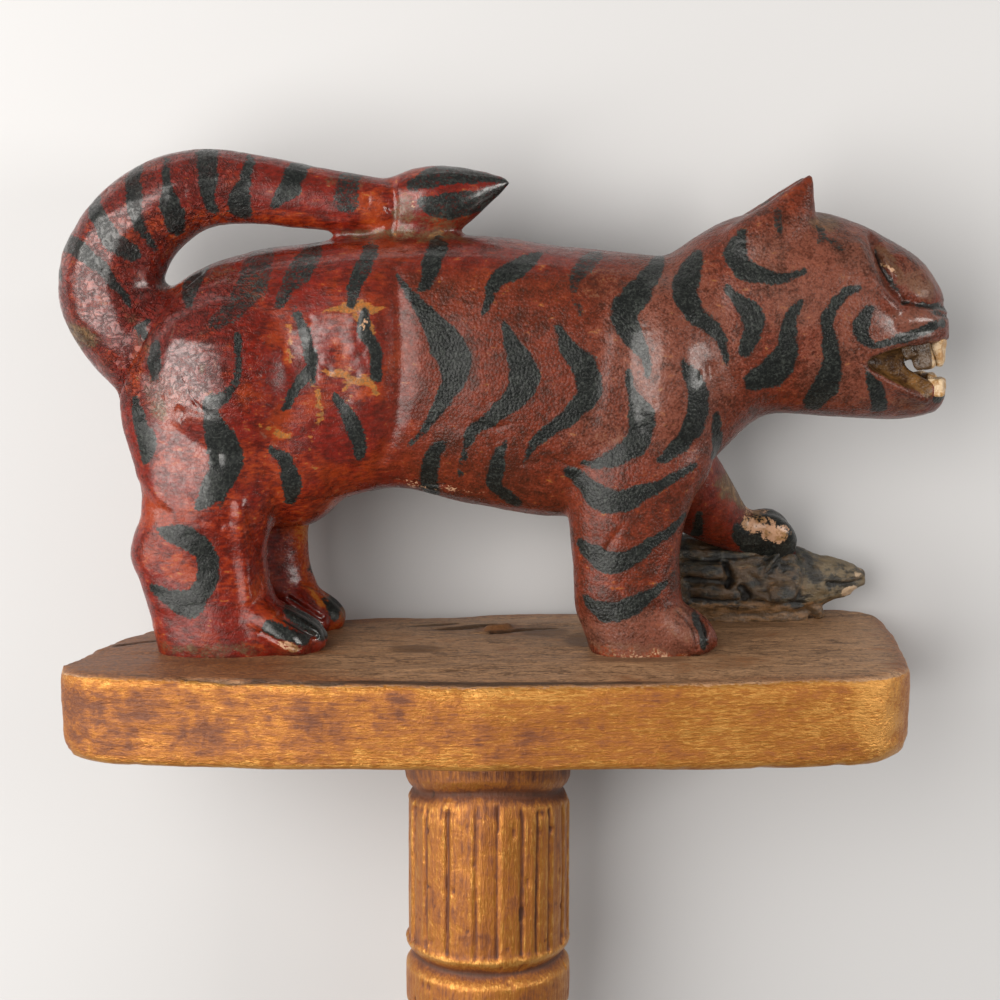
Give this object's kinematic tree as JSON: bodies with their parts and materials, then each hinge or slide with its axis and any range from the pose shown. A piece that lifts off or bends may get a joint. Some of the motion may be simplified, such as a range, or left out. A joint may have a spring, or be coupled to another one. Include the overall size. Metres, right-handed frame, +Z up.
{
  "type": "linguist staff",
  "caption": "Long carved wooden staff of office with a striped big cat standing over its prey on a platform finial, on a turned and fluted gilded shaft.",
  "frame": {"origin": "centre of the bounding box's underside, on the floor the staff lies on", "axes": "+Y along the staff from its foot to the finial, +Z up from the floor to the show side of the lying staff, +X towards the animal's nose"},
  "size_m": [0.2384, 1.4236, 0.089],
  "materials": {
    "painted_wood": "glossy worn red and black paint over carved wood, with traces of gilding",
    "gilded_wood": "worn gilding over a red-brown ground"
  },
  "bodies": {
    "root": {"finial": "painted_wood", "shaft": "gilded_wood"}
  },
  "joints": []
}
